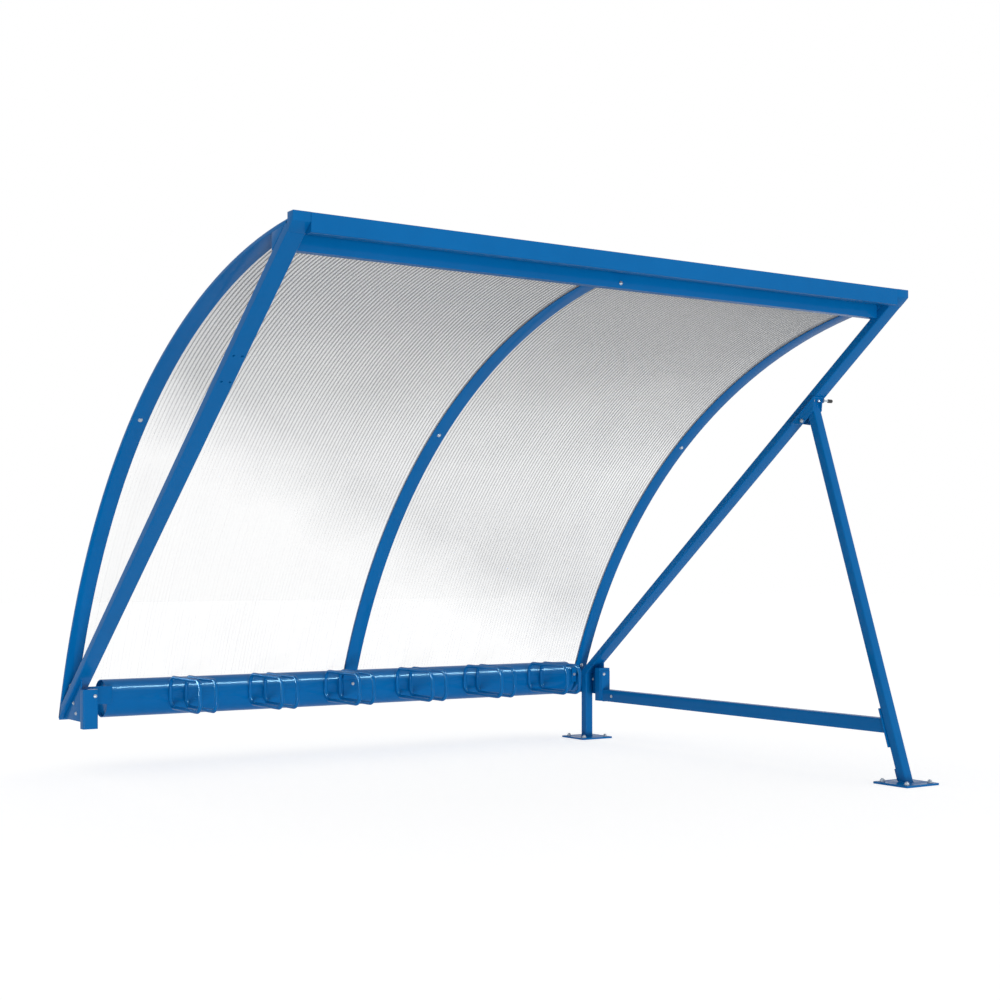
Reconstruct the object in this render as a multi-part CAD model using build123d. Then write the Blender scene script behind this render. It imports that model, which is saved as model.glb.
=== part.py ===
from build123d import *
import os
from math import cos, hypot, radians, sin, sqrt

# One add-on bay of a curved bike shelter: two end frames and a middle arch carry two
# translucent roof sheets, and a round rail along the back carries six wheel holders.
# Sizes are in mm. While the bay is drawn, X runs along it from the outer face of the
# left frame, Y points to the back and Z is the height above the ground.

# ---- the bay
bay_length = 2600.0        # over the outer faces of the end frames
front_y = -1512.0          # front face of the top beam
top_z = 1882.5             # top of the beam

# ---- curved roof line: a circle through a head and a foot point
roof_radius = 2387.8       # to the middle of the arch bars
roof_head = (-1472.0, 1855.8)
roof_foot = (607.6, 247.0)
arch_width = 64.0
arch_thickness = 13.0
sheet_thickness = 6.0
groove_clearance = 0.25    # between a sheet and each side of its groove
groove_depth = 12.0
sheet_engagement = 10.0    # how far a sheet's edge sits in its groove
sheet_bottom_z = 372.0
groove_overrun = 6.0       # of a groove below the sheet's bottom edge

# ---- straight struts of the end frames
strut_width = 60.0
strut_depth = 34.0
strut_head_drop = 8.6      # strut's middle line at the front face, below the top
strut_foot = (597.0, 247.0)
tube_wall = 2.0

# ---- top beam, and the fascia behind it below the heads of the arches
beam_depth = 40.0
fascia_depth = 40.0
fascia_height = 54.0
fascia_setback = 107.0     # behind the beam's front face

# ---- lower node: stub, web, rear post
leg_line = 42.0            # middle of stub, post, tie bar and leg, from the outer face
stub_width = 60.0
stub_depth = 40.0
stub_front_y = 360.0
stub_bottom_z = 188.0
stub_top_z = 343.0
web_thickness = 6.0
post_size = 40.0
post_y = 503.6

# ---- foot plates and their anchor holes
foot_plate = 175.0
foot_thickness = 8.0
foot_corner = 6.0
anchor_spacing = 124.0
anchor_hole = 13.0

# ---- front leg and the bracket at its head
leg_size = 40.0
leg_foot_y = -1541.0       # middle of the leg at ground level
leg_lean = 0.3414          # rearward run per unit of height
head_plate_thickness = 5.0
head_plate_middle = 1257.5 # along the strut from the point above Y = 0
head_plate_length = 165.0
head_plate_width = 58.0
head_bolt_spacing = 121.0
head_bolt_pitch = 30.0
head_bolt_hole = 9.0
cheek_thickness = 4.0
cheek_drop = 43.0          # below the strut's underside
cheek_top_inset = 5.0      # from the ends of the head plate
cheek_low_inset = 40.0
foot_tab = (34.0, 7.0, 46.0)
foot_tab_z = 19.0

# ---- tie bar between the rear node and the leg
tie_height = 55.5
tie_bottom_z = 187.5
tie_plate_width = 50.0
tie_plate_thickness = 6.0
rear_tie_plate_height = 142.0
front_tie_plate_length = 154.0

# ---- rail along the back
rail_radius = 78.0
rail_wall = 3.0
rail_z = 283.5
rail_rest_angle = 36.5     # of the line where the middle arch rests on the rail
rail_left_gap = 121.0      # from the inner side of the left frame
rail_right_gap = 6.0       # from the inner side of the right frame
rail_plate_recess = 15.0
rail_plate_thickness = 4.0
rail_plate_clearance = 0.1 # around an end plate inside the rail
lug_thickness = 8.0
lug_height = 73.0
lug_drop = 16.5            # bottom of a lug below the rail's middle
lug_overlap = 18.0         # of a lug over the end of the rail
lug_flange_reach = 32.0    # of the flange behind a lug, along the edge of the arch
saddle_thickness = 5.0
saddle_from = -20.0        # degrees above the level through the rail's middle
saddle_to = 52.0

# ---- wheel holders: pairs of closed loops of round bar
holder_count = 6
first_holder_gap = 489.0   # from the outer face of the left frame
last_holder_gap = 306.0    # from the outer face of the right frame
loop_bar = 16.0
loop_reach = 312.0         # between bar middles
loop_height = 125.0        # between bar middles
loop_corner = 37.0         # at the bar's middle
loop_rise = 20.0           # loop's middle above the rail's middle
loop_pitch = 69.0          # between the two loops of a holder


# ---- derived geometry of the curved roof line
chord = (roof_foot[0] - roof_head[0], roof_foot[1] - roof_head[1])
chord_length = hypot(*chord)
chord_offset = sqrt(roof_radius ** 2 - (chord_length / 2) ** 2)
roof_centre = (
    (roof_head[0] + roof_foot[0]) / 2 + chord[1] / chord_length * chord_offset,
    (roof_head[1] + roof_foot[1]) / 2 - chord[0] / chord_length * chord_offset,
)
arch_inner = roof_radius - arch_thickness / 2
arch_outer = roof_radius + arch_thickness / 2

# ---- derived geometry of the strut line
strut_head = (front_y, top_z - strut_head_drop)
strut_run = (strut_head[0] - strut_foot[0], strut_head[1] - strut_foot[1])
strut_length = hypot(*strut_run)
strut_way = (strut_run[0] / strut_length, strut_run[1] / strut_length)
strut_down = (-strut_way[1], strut_way[0])
strut_slope = strut_run[1] / strut_run[0]
strut_zero = (0.0, strut_foot[1] - strut_foot[0] * strut_slope)
strut_under = (0.0, strut_zero[1] - strut_depth / 2 * hypot(strut_slope, 1.0))
strut_over = (0.0, strut_zero[1] + strut_depth / 2 * hypot(strut_slope, 1.0))
strut_up = (-strut_down[0], -strut_down[1])

# ---- foot of the end arches and of the webs, where the strut's underside meets the arch
to_under = (strut_under[0] - roof_centre[0], strut_under[1] - roof_centre[1])
half_b = to_under[0] * strut_way[0] + to_under[1] * strut_way[1]
under_run = half_b + sqrt(half_b ** 2 - hypot(*to_under) ** 2 + arch_inner ** 2)
arch_foot_z = strut_under[1] - strut_way[1] * under_run

# ---- derived places of beam, rail and legs
beam_back_y = front_y + beam_depth
beam_bottom_z = strut_under[1] + beam_back_y * strut_slope
beam_height = top_z - beam_bottom_z
fascia_front_y = front_y + fascia_setback
fascia_back_y = fascia_front_y + fascia_depth
fascia_top_z = roof_centre[1] + sqrt(arch_inner ** 2 - (fascia_back_y - roof_centre[0]) ** 2)
leg_x = bay_length - leg_line
leg_length = hypot(leg_lean, 1.0)
leg_way = (leg_lean / leg_length, 1.0 / leg_length)
leg_back = (leg_way[1], -leg_way[0])
head_plate_start = head_plate_middle - head_plate_length / 2
rest_z = rail_z + rail_radius * sin(radians(rail_rest_angle))
rest_y = roof_centre[0] + sqrt(arch_outer ** 2 - (rest_z - roof_centre[1]) ** 2)
rail_y = rest_y + rail_radius * cos(radians(rail_rest_angle))
frame_width = max(arch_width, strut_width)
rail_left = frame_width + rail_left_gap
rail_right = bay_length - frame_width - rail_right_gap
big = 4 * bay_length


def inset_x(side, inset, width):
    """Left edge of a piece that lies inset mm inside the outer face of its frame."""
    return inset if side == "left" else bay_length - inset - width


def outline(x, width, points):
    """A flat shape drawn in Y and Z, extruded along X."""
    face = Plane.YZ.offset(x) * make_face(Polyline(*points, close=True))
    return extrude(face, width)


def ring(x, width, centre, inner, outer):
    """A ring about an axis along X."""
    disc = Circle(outer) - Circle(inner) if inner else Circle(outer)
    return extrude(Plane.YZ.offset(x) * Pos(*centre) * disc, width)


def keep(solid, point, away):
    """Cuts off what lies past a plane through a Y, Z point, in the direction away."""
    cutter = Plane(origin=(0, *point), x_dir=(1, 0, 0), z_dir=(0, *away))
    return split(solid, bisect_by=cutter, keep=Keep.BOTTOM)


def bar(x, width, depth, start, way, length, wall=0.0):
    """A straight bar in the Y, Z plane, or a tube where it has a wall."""
    across = Plane(origin=(x + width / 2, *start), x_dir=(1, 0, 0), z_dir=(0, *way))
    section = Rectangle(width, depth)
    if wall:
        section -= Rectangle(width - 2 * wall, depth - 2 * wall)
    return extrude(across * section, length)


def along(point, way, distance, side=(0.0, 0.0), offset=0.0):
    """A Y, Z point at a distance along a way, moved sideways by an offset."""
    return (
        point[0] + way[0] * distance + side[0] * offset,
        point[1] + way[1] * distance + side[1] * offset,
    )


def roof_band(x, width, thickness, bottom_z):
    """A curved band on the roof line, from the beam down to a height."""
    half = thickness / 2
    band = ring(x, width, roof_centre, roof_radius - half, roof_radius + half)
    band = keep(band, (beam_back_y, 0), (-1, 0))
    return keep(band, (0, bottom_z), (0, -1))


def groove(x):
    """The slot a sheet's edge sits in."""
    height = sheet_thickness + 2 * groove_clearance
    return roof_band(x, groove_depth, height, sheet_bottom_z - groove_overrun)


def end_arch(side):
    x = inset_x(side, 0, arch_width)
    arch = roof_band(x, arch_width, arch_thickness, arch_foot_z)
    return arch - groove(x + arch_width - groove_depth if side == "left" else x)


def middle_arch():
    x = (bay_length - arch_width) / 2
    arch = roof_band(x, arch_width, arch_thickness, rail_z)
    arch -= groove(x)
    arch -= groove(x + arch_width - groove_depth)
    return arch - ring(x, arch_width, (rail_y, rail_z), 0, rail_radius + saddle_thickness)


def inside_arch(solid, x, width):
    """Trims a piece of an end frame to the inner face of its arch."""
    return solid - ring(x, width, roof_centre, arch_inner, 2 * roof_radius)


def strut(side):
    """A straight tube across the arch, from the back of the beam to the arch's foot."""
    x = inset_x(side, 0, strut_width)
    start = along(strut_foot, strut_way, -4 * strut_depth)
    tube = bar(x, strut_width, strut_depth, start, strut_way,
               strut_length + 8 * strut_depth, tube_wall)
    tube = inside_arch(keep(tube, (beam_back_y, 0), (-1, 0)), x, strut_width)
    if side == "left":
        tube -= head_bolts(x + strut_width / 2)
    return tube


def beam_end(side):
    """The solid corner that closes the beam, cut off below in line with the strut."""
    x = inset_x(side, 0, strut_width)
    size = (strut_width, beam_depth, 2 * beam_height)
    corner = box(x, front_y, top_z - size[2], size)
    return keep(corner, strut_under, strut_down)


def fascia_end(side):
    """A filler in the corner between strut, arch and fascia."""
    x = inset_x(side, 0, strut_width)
    bottom_z = fascia_top_z - fascia_height
    size = (strut_width, fascia_back_y - beam_back_y, top_z - bottom_z)
    filler = keep(box(x, beam_back_y, bottom_z, size), strut_over, strut_down)
    return inside_arch(filler, x, strut_width)


def head_bolts(x):
    """The four holes for a leg bracket in the underside of a strut."""
    drill = Cylinder(head_bolt_hole / 2, 4 * tube_wall)
    holes = Part()
    for shift_up in (-head_bolt_spacing / 2, head_bolt_spacing / 2):
        spot = along(strut_zero, strut_way, head_plate_middle + shift_up,
                     strut_down, strut_depth / 2)
        for shift in (-head_bolt_pitch / 2, head_bolt_pitch / 2):
            place = Plane(origin=(x + shift, *spot), x_dir=(1, 0, 0), z_dir=(0, *strut_down))
            holes += place * drill
    return holes


def box(x, y, z, size):
    """A box from its low corner."""
    return Pos(x, y, z) * Box(*size, align=Align.MIN)


def box_tube(x, y, z, size):
    """A tube along X with square corners."""
    core = (size[0], size[1] - 2 * tube_wall, size[2] - 2 * tube_wall)
    return box(x, y, z, size) - box(x, y + tube_wall, z + tube_wall, core)


def below_strut(solid):
    return keep(solid, strut_under, strut_up)


def stub(side):
    """A short upright tube in front of the web, a little below the strut."""
    x = inset_x(side, leg_line - stub_width / 2, stub_width)
    y = stub_front_y + stub_depth / 2
    return bar(x, stub_width, stub_depth, (y, stub_bottom_z), (0, 1),
               stub_top_z - stub_bottom_z, tube_wall)


def web(side):
    """A flat plate that fills the corner between stub, strut and arch."""
    x = inset_x(side, leg_line - post_size / 2 - web_thickness, web_thickness)
    y = stub_front_y + stub_depth
    blank = box(x, y, arch_foot_z, (web_thickness, stub_front_y, top_z / 2))
    return inside_arch(below_strut(blank), x, web_thickness)


def foot(x, y):
    blank = extrude(Pos(x, y) * RectangleRounded(foot_plate, foot_plate, foot_corner),
                    foot_thickness)
    for hole in GridLocations(anchor_spacing, anchor_spacing, 2, 2):
        blank -= Pos(x, y) * hole * Cylinder(anchor_hole / 2, 4 * foot_thickness)
    return blank


def rear_post():
    return below_strut(bar(leg_x - post_size / 2, post_size, post_size,
                           (post_y, foot_thickness), (0, 1), top_z / 2, tube_wall))


def leg_point(z):
    return (leg_foot_y + leg_lean * z, z)


def front_leg():
    tube = bar(leg_x - leg_size / 2, leg_size, leg_size, leg_point(-leg_size), leg_way,
               top_z, tube_wall)
    tube = keep(tube, (0, foot_thickness), (0, -1))
    return keep(tube, along(strut_under, strut_down, head_plate_thickness), strut_up)


def under_strut(x, width, far, top_inset, low_inset, near=0.0):
    """A plate below the strut, from near to far under it, tapering downwards."""
    ends = ((near, top_inset, 0), (near, top_inset, 1), (far, low_inset, 1), (far, low_inset, 0))
    zero = along(strut_zero, strut_down, strut_depth / 2)
    points = []
    for drop, inset, end in ends:
        u = head_plate_start + (head_plate_length - inset if end else inset)
        points.append(along(zero, strut_way, u, strut_down, drop))
    return outline(x, width, points)


def leg_head_bracket():
    """A plate bolted under the strut, with a cheek on each side of the leg."""
    bracket = under_strut(leg_x - head_plate_width / 2, head_plate_width,
                          head_plate_thickness, 0, 0)
    for x in (leg_x - leg_size / 2 - cheek_thickness, leg_x + leg_size / 2):
        bracket += under_strut(x, cheek_thickness, cheek_drop, cheek_top_inset,
                               cheek_low_inset, head_plate_thickness)
    return bracket


def leg_foot_tab():
    """A small strip on the back of the leg, just above its foot."""
    width, thickness, height = foot_tab
    back = along(leg_point(foot_tab_z), leg_back, leg_size / 2 + thickness / 2)
    return bar(leg_x - width / 2, width, thickness, back, leg_way, height)


def tie_plate_front():
    """The plate at the tie bar's front end, flat against the back of the leg."""
    start = along(leg_point(tie_bottom_z + tie_height / 2), leg_way,
                  -front_tie_plate_length / 2,
                  leg_back, (leg_size + tie_plate_thickness) / 2)
    return bar(leg_x - tie_plate_width / 2, tie_plate_width, tie_plate_thickness, start,
               leg_way, front_tie_plate_length)


def tie_bar():
    middle = tie_bottom_z + tie_height / 2
    back_y = stub_front_y - tie_plate_thickness
    tube = bar(leg_x - leg_size / 2, leg_size, tie_height, (back_y, middle), (-1, 0),
               back_y - leg_foot_y, tube_wall)
    face = along(leg_point(0), leg_back, leg_size / 2 + tie_plate_thickness)
    return keep(tube, face, (-leg_back[0], -leg_back[1]))


def rail():
    return ring(rail_left, rail_right - rail_left, (rail_y, rail_z),
                rail_radius - rail_wall, rail_radius)


def rail_plate(side):
    x = rail_left + rail_plate_recess
    if side == "right":
        x = rail_right - rail_plate_recess - rail_plate_thickness
    return ring(x, rail_plate_thickness, (rail_y, rail_z), 0,
                rail_radius - rail_wall - rail_plate_clearance)


def rail_lug(side):
    """The bracket that holds an end of the rail: a strip on its front, turned back at the
    end frame into a flange along the edge of the arch."""
    y = rail_y - rail_radius - lug_thickness
    z = rail_z - lug_drop
    flange = rail_right_gap
    if side == "left":
        x = frame_width
        length = rail_left + lug_overlap - x
        flange_x = x
    else:
        x = rail_right - lug_overlap
        length = bay_length - frame_width - x
        flange_x = x + length - flange
    strip = box(x, y, z, (length, lug_thickness, lug_height))
    return strip + box(flange_x, y, z, (flange, lug_thickness + lug_flange_reach, lug_height))


def saddle():
    """A curved foot for the middle arch, wrapped on the front of the rail."""
    shell = ring((bay_length - arch_width) / 2, arch_width, (rail_y, rail_z), rail_radius,
                 rail_radius + saddle_thickness)
    for angle, turn in ((saddle_from, -1), (saddle_to, 1)):
        away = (turn * sin(radians(angle)), turn * cos(radians(angle)))
        shell = keep(shell, (rail_y, rail_z), away)
    return shell


def wheel_holder(x):
    """Two closed loops of round bar that reach forward from the rail."""
    y = rail_y - rail_radius - loop_bar / 2 - loop_reach / 2
    z = rail_z + loop_rise
    pair = Part()
    for loop_x in (x - loop_pitch / 2, x + loop_pitch / 2):
        shape = RectangleRounded(loop_reach, loop_height, loop_corner)
        path = (Plane.YZ.offset(loop_x) * Pos(y, z) * shape).wire()
        section = Plane(origin=path @ 0, z_dir=path % 0) * Circle(loop_bar / 2)
        pair += sweep(section, path=path)
    return pair


nodes = {}
for side in ("left", "right"):
    nodes["arch_" + side] = end_arch(side)
    nodes["strut_" + side] = strut(side)
    nodes["beam_end_" + side] = beam_end(side)
    nodes["fascia_end_" + side] = fascia_end(side)
    nodes["node_stub_" + side] = stub(side)
    nodes["node_web_" + side] = web(side)
    nodes["rail_end_plate_" + side] = rail_plate(side)
    nodes["rail_lug_" + side] = rail_lug(side)
nodes["arch_middle"] = middle_arch()
nodes["arch_saddle"] = saddle()
nodes["rack_rail"] = rail()

beam_length = bay_length - 2 * strut_width
nodes["front_beam"] = box_tube(strut_width, front_y, beam_bottom_z,
                               (beam_length, beam_depth, beam_height))
nodes["front_fascia"] = box_tube(strut_width, fascia_front_y, fascia_top_z - fascia_height,
                                 (beam_length, fascia_depth, fascia_height))

sheet_width = (bay_length - 3 * arch_width) / 2 + 2 * sheet_engagement
sheet_left_x = arch_width - sheet_engagement
sheet_right_x = (bay_length + arch_width) / 2 - sheet_engagement
for name, x in (("left", sheet_left_x), ("right", sheet_right_x)):
    nodes["roof_sheet_" + name] = roof_band(x, sheet_width, sheet_thickness, sheet_bottom_z)

last_holder = bay_length - last_holder_gap
for number in range(holder_count):
    step = number / (holder_count - 1)
    holder_x = first_holder_gap + (last_holder - first_holder_gap) * step
    nodes["wheel_holder_%d" % (number + 1)] = wheel_holder(holder_x)

nodes["rear_post"] = rear_post()
nodes["rear_foot_plate"] = foot(leg_x, post_y)
nodes["front_leg"] = front_leg()
nodes["front_foot_plate"] = foot(leg_x, leg_point(foot_thickness)[0])
nodes["leg_head_bracket"] = leg_head_bracket()
nodes["leg_foot_tab"] = leg_foot_tab()
nodes["tie_bar"] = tie_bar()
nodes["tie_plate_front"] = tie_plate_front()
nodes["tie_plate_rear"] = box(leg_x - tie_plate_width / 2, stub_front_y - tie_plate_thickness,
                              tie_bottom_z,
                              (tie_plate_width, tie_plate_thickness, rear_tie_plate_height))

# The origin is the middle of the underside of the rear foot plate.
os.makedirs("parts", exist_ok=True)
for name, solid in nodes.items():
    export_step(Pos(-leg_x, -post_y, 0) * solid, "parts/%s.step" % name)
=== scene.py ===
# %% [markdown]
# # A bay of a curved bike shelter
#
# This lesson dresses the imported steel frame of a bike shelter: glossy blue powder coat on
# tubes and arches, clear fluted roof sheets, zinc bolts and weld beads. The frame's own
# solids give the size and place of every part that they hold. The frame is loaded first.

# %% Load the frame
import bpy
import bmesh
from math import acos, asin, cos, pi, radians, sin, sqrt
from mathutils import Matrix, Vector


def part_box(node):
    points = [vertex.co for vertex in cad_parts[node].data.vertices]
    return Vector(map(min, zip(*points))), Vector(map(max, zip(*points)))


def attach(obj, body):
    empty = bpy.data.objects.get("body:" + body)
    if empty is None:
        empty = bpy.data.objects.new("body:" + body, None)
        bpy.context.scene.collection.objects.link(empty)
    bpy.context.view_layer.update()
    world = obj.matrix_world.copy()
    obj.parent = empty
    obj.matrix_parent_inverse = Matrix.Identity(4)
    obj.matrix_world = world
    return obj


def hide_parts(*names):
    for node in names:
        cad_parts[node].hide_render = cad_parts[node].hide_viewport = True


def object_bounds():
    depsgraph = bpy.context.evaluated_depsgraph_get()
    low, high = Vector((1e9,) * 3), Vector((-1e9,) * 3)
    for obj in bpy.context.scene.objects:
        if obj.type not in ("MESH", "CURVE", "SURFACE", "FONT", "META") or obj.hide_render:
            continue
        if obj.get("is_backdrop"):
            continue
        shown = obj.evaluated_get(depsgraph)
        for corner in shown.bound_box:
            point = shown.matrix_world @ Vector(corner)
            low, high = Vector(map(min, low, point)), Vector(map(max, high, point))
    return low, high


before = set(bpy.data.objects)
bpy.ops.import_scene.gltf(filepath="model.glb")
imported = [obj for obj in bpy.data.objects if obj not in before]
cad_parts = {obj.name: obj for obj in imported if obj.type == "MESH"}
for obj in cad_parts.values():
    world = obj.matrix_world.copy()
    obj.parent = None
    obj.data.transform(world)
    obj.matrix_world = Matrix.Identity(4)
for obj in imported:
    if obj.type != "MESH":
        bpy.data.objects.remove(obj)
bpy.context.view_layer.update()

# %% [markdown]
# ## Lines of the shelter
#
# A few lines rule the whole bay: the roof is part of a circle, the end struts and the front
# leg are straight and lean, and the back rail is a round pipe. They are named here once in
# metres, and the boxes of the frame's pieces give the rest. X runs along the bay, Y to the
# back and Z up.

# %% Name the ruling lines
ROOF_Y, ROOF_Z, ROOF_RADIUS = -2.15549, -0.52521, 2.3878
ARCH_HALF = 0.0065
STRUT_HEIGHT, STRUT_SLOPE, STRUT_HALF = 0.31905, 0.77141, 0.017
LEG_FOOT, LEG_LEAN = -2.0446, 0.3414
TUBE_SIDE, TUBE_CORNER = 0.040, 0.0045
HEAD_PLATE_MIDDLE, HEAD_PLATE_THICKNESS, EMPTY_HOLES_MIDDLE = 1.8935, 0.005, 1.893528
TIE_PLATE_FACE = 0.026
UP, DOWN = Vector((0, 0, 1)), Vector((0, 0, -1))
FORWARD, BACKWARD = Vector((0, -1, 0)), Vector((0, 1, 0))
LEFTWARD, RIGHTWARD = Vector((-1, 0, 0)), Vector((1, 0, 0))

strut_way = Vector((0, -1, STRUT_SLOPE)).normalized()
strut_down = Vector((0, -STRUT_SLOPE, -1)).normalized()
strut_start = Vector((0, 0, STRUT_HEIGHT))
strut_underside = strut_start + strut_down * STRUT_HALF
head_plate_face = strut_start + strut_down * (STRUT_HALF + HEAD_PLATE_THICKNESS)
leg_way = Vector((0, LEG_LEAN, 1)).normalized()
leg_back = Vector((0, 1, -LEG_LEAN)).normalized()
tie_plate_face = Vector((0, LEG_FOOT, 0)) + leg_back * TIE_PLATE_FACE


def middle_of(node):
    """The middle of a frame piece's box."""
    low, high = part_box(node)
    return (low + high) / 2


rail_low, rail_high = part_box("rack_rail")
rail_middle = middle_of("rack_rail")
rail_radius = (rail_high.z - rail_low.z) / 2


def on_roof(angle, radius):
    """The Y and Z of a point of the roof circle."""
    return ROOF_Y + radius * cos(angle), ROOF_Z + radius * sin(angle)


def roof_angle_at(y=None, z=None, radius=ROOF_RADIUS):
    """The angle at which the roof circle passes a Y or a Z."""
    if y is None:
        return asin((z - ROOF_Z) / radius)
    return acos((y - ROOF_Y) / radius)


print("rail radius", round(rail_radius, 4), "roof radius", ROOF_RADIUS)

# %% [markdown]
# ## A small language for nodes
#
# Materials and repeated shapes are both node trees. They could be wired one link at a time,
# but sums are easier to read, so a socket is wrapped in a class that turns Python operators
# into Math nodes. Every other node comes from one method, which sets the node's own settings
# first and then fills its sockets with numbers or links.

# %% Wrap sockets so that sums can be written
class Value:
    """A socket that can be used in sums."""

    def __init__(self, graph, socket):
        self.graph = graph
        self.socket = socket

    def sum(self, operation, *terms):
        return self.graph.node("ShaderNodeMath", {"operation": operation},
                               dict(enumerate(terms)))

    def __add__(self, other):
        return self.sum("ADD", self, other)

    def __sub__(self, other):
        return self.sum("SUBTRACT", self, other)

    def __mul__(self, other):
        return self.sum("MULTIPLY", self, other)


class Graph:
    """A node tree under construction."""

    def __init__(self, tree):
        self.tree = tree

    def node(self, kind, settings=None, sockets=None, output=0):
        made = self.tree.nodes.new(kind)
        for name, setting in (settings or {}).items():
            setattr(made, name, setting)
        for name, value in (sockets or {}).items():
            self.fill(made.inputs[name], value)
        return Value(self, made.outputs[output])

    def fill(self, socket, value):
        if isinstance(value, Value):
            self.tree.links.new(value.socket, socket)
        else:
            socket.default_value = value

    def blend(self, amount, first, second):
        """A colour between two. The node takes colours in sockets 6 and 7 and gives one in 2."""
        return self.node("ShaderNodeMix", {"data_type": "RGBA"}, {0: amount, 6: first, 7: second},
                         output=2)

    def axes(self, vector):
        """The X, Y and Z of a vector."""
        apart = self.tree.nodes.new("ShaderNodeSeparateXYZ")
        self.fill(apart.inputs[0], vector)
        return [Value(self, part) for part in apart.outputs]

    def noise(self, where, scale, detail=2.0, roughness=0.5):
        return self.node("ShaderNodeTexNoise", None,
                         {"Vector": where, "Scale": scale, "Detail": detail,
                          "Roughness": roughness})

    def limited(self, value):
        """A value held between 0 and 1."""
        return self.node("ShaderNodeMath", {"operation": "ADD", "use_clamp": True},
                         {0: value, 1: 0.0})

    def spread(self, value, low, high):
        """A value moved from 0..1 into low..high."""
        return value * (high - low) + low


print("node language ready")

# %% [markdown]
# ## Finishes
#
# Powder coat is a thick glossy paint. Close up it has a fine orange-peel ripple, and over a
# metre its tone and gloss drift a little, so both come from noise on the object's own
# coordinates. Zinc fasteners are bright but crystalline, and their roughness breaks up over a
# few millimetres. A plain colour would look like plastic in each case.

# %% Start a material
def start_material(name):
    """A new material with its graph, its surface shader and the object's coordinates."""
    material = bpy.data.materials.new(name)
    material.use_nodes = True
    graph = Graph(material.node_tree)
    shader = next(n for n in graph.tree.nodes if n.type == "BSDF_PRINCIPLED")
    where = graph.node("ShaderNodeTexCoord", output="Object")
    return material, graph, shader, where


def set_shader(graph, shader, values):
    for name, value in values.items():
        graph.fill(shader.inputs[name], value)


# %% Blue powder coat
def make_blue_paint():
    material, graph, shader, where = start_material("blue_paint")
    drift = graph.noise(where, scale=2.3, detail=3.0)
    cloud = graph.noise(where, scale=16.0, detail=4.0, roughness=0.6)
    peel = graph.noise(where, scale=520.0, detail=1.0)
    tone = graph.spread(drift * 0.65 + cloud * 0.35, -0.35, 1.35)
    base = graph.blend(tone, (0.0008, 0.116, 0.350, 1), (0.0010, 0.142, 0.420, 1))
    ripple = graph.node("ShaderNodeBump", None,
                        {"Strength": 0.03, "Distance": 0.0004, "Height": peel})
    set_shader(graph, shader, {
        "Base Color": base, "Roughness": graph.spread(cloud, 0.24, 0.40),
        "Normal": ripple, "Coat Weight": 0.12, "Coat Roughness": 0.05,
        "Specular IOR Level": 0.03})
    return material


# %% Bright zinc
def make_zinc():
    material, graph, shader, where = start_material("bright_zinc")
    grains = graph.node("ShaderNodeTexVoronoi", None, {"Vector": where, "Scale": 420.0})
    dull = graph.noise(where, scale=160.0, detail=3.0)
    base = graph.blend(grains, (0.38, 0.43, 0.48, 1), (0.56, 0.61, 0.66, 1))
    set_shader(graph, shader, {
        "Base Color": base, "Metallic": 1.0,
        "Roughness": graph.spread(dull, 0.22, 0.48)})
    return material


# %% Black plastic
def make_black_plastic():
    material, graph, shader, where = start_material("black_plastic")
    grain = graph.noise(where, scale=900.0)
    bump = graph.node("ShaderNodeBump", None,
                      {"Strength": 0.25, "Distance": 0.0003, "Height": grain})
    base = graph.blend(graph.noise(where, scale=40.0), (0.010, 0.011, 0.012, 1),
                       (0.022, 0.024, 0.026, 1))
    set_shader(graph, shader, {
        "Base Color": base, "Normal": bump,
        "Roughness": graph.spread(grain, 0.42, 0.62)})
    return material


blue_paint = make_blue_paint()
bright_zinc = make_zinc()
black_plastic = make_black_plastic()
print("finishes", [m.name for m in bpy.data.materials])

# %% [markdown]
# ## Clear fluted sheet
#
# The roof sheets are extruded with two skins and a row of thin walls between them. Each skin
# lets most light through, with faint lengthways streaks from the die. Both are plain plastic
# shaders whose Alpha varies, which is cheap to trace and survives an export better than
# refraction. Shade is painted into their tint and Alpha, darker on the inner walls than on the
# skins. The foot of the roof is nearly clear and pale. The painted shade grows in two steps:
# first past an edge that slants down towards +X, and again in the upper part. A soft haze keeps
# both steps from being even.

# %% The law of painted shade
SLANT_PER_HEIGHT, SLANT_PER_X, SLANT_START = 3.3, 1.3, 0.95
UPPER_PER_HEIGHT, UPPER_START = 1.05, 1.3
SLANT_SHARE = 0.5


def painted_sheet_shade(graph, where, haze):
    """Painted shade on the sheets: a value from 0 at the clear foot of the roof to 1 at its head.
    """
    across, _, height = graph.axes(where)
    slant = graph.limited(height * SLANT_PER_HEIGHT + across * SLANT_PER_X - SLANT_START
                          + graph.spread(haze, -0.2, 0.2))
    upper = graph.limited(height * UPPER_PER_HEIGHT - UPPER_START)
    return graph.limited(slant * SLANT_SHARE + upper + graph.spread(haze, -0.1, 0.1))


print("density of the sheets grows from 0 to", SLANT_SHARE, "and then to 1")

# %% Sheet materials
# The darker tints passed to each sheet below are painted shade, reached towards the head of the
# roof.
CLEAR_TINT, HAZE_TINT = (0.92, 0.93, 0.93, 1), (0.5, 0.51, 0.52, 1)


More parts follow.
